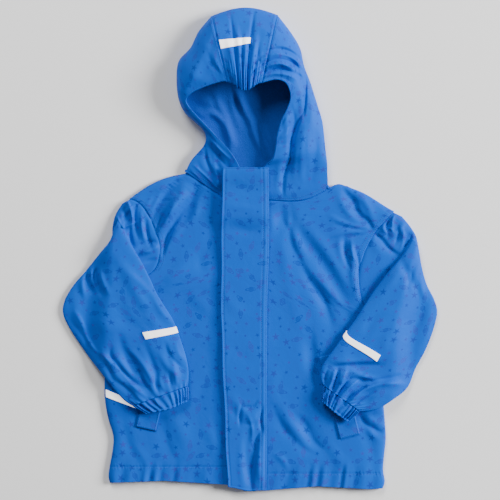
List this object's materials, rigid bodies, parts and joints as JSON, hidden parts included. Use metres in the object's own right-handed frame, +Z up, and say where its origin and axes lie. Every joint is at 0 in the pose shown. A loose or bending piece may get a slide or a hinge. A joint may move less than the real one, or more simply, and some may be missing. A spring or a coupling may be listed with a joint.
{
  "type": "kids raincoat",
  "caption": "Hooded child's raincoat laid flat, its sleeves folded in over the front, with a storm flap, gathered cuffs and reflective tapes.",
  "frame": {"origin": "middle of the base of the space that the laid-out coat takes up, on the surface that it rests on", "axes": "+X towards the wearer's left, +Y from the hem to the top of the hood, +Z up from the surface, out of the front"},
  "size_m": [0.5612, 0.7235, 0.0513],
  "materials": {
    "shell": "satin",
    "lining": "matte",
    "tape": "satin"
  },
  "bodies": {
    "root": {"front_right": "shell", "front_left": "shell", "back": "shell", "storm_flap": "shell", "hood_right": "shell", "hood_left": "shell", "hood_centre": "shell", "hood_lining": "lining", "sleeve_right": "shell", "sleeve_left": "shell", "cuff_right": "shell", "cuff_left": "shell", "pocket_welt_right": "shell", "pocket_welt_left": "shell", "tape_hood": "tape", "tape_sleeve_right": "tape", "tape_sleeve_left": "tape", "tape_side": "tape"}
  },
  "joints": []
}
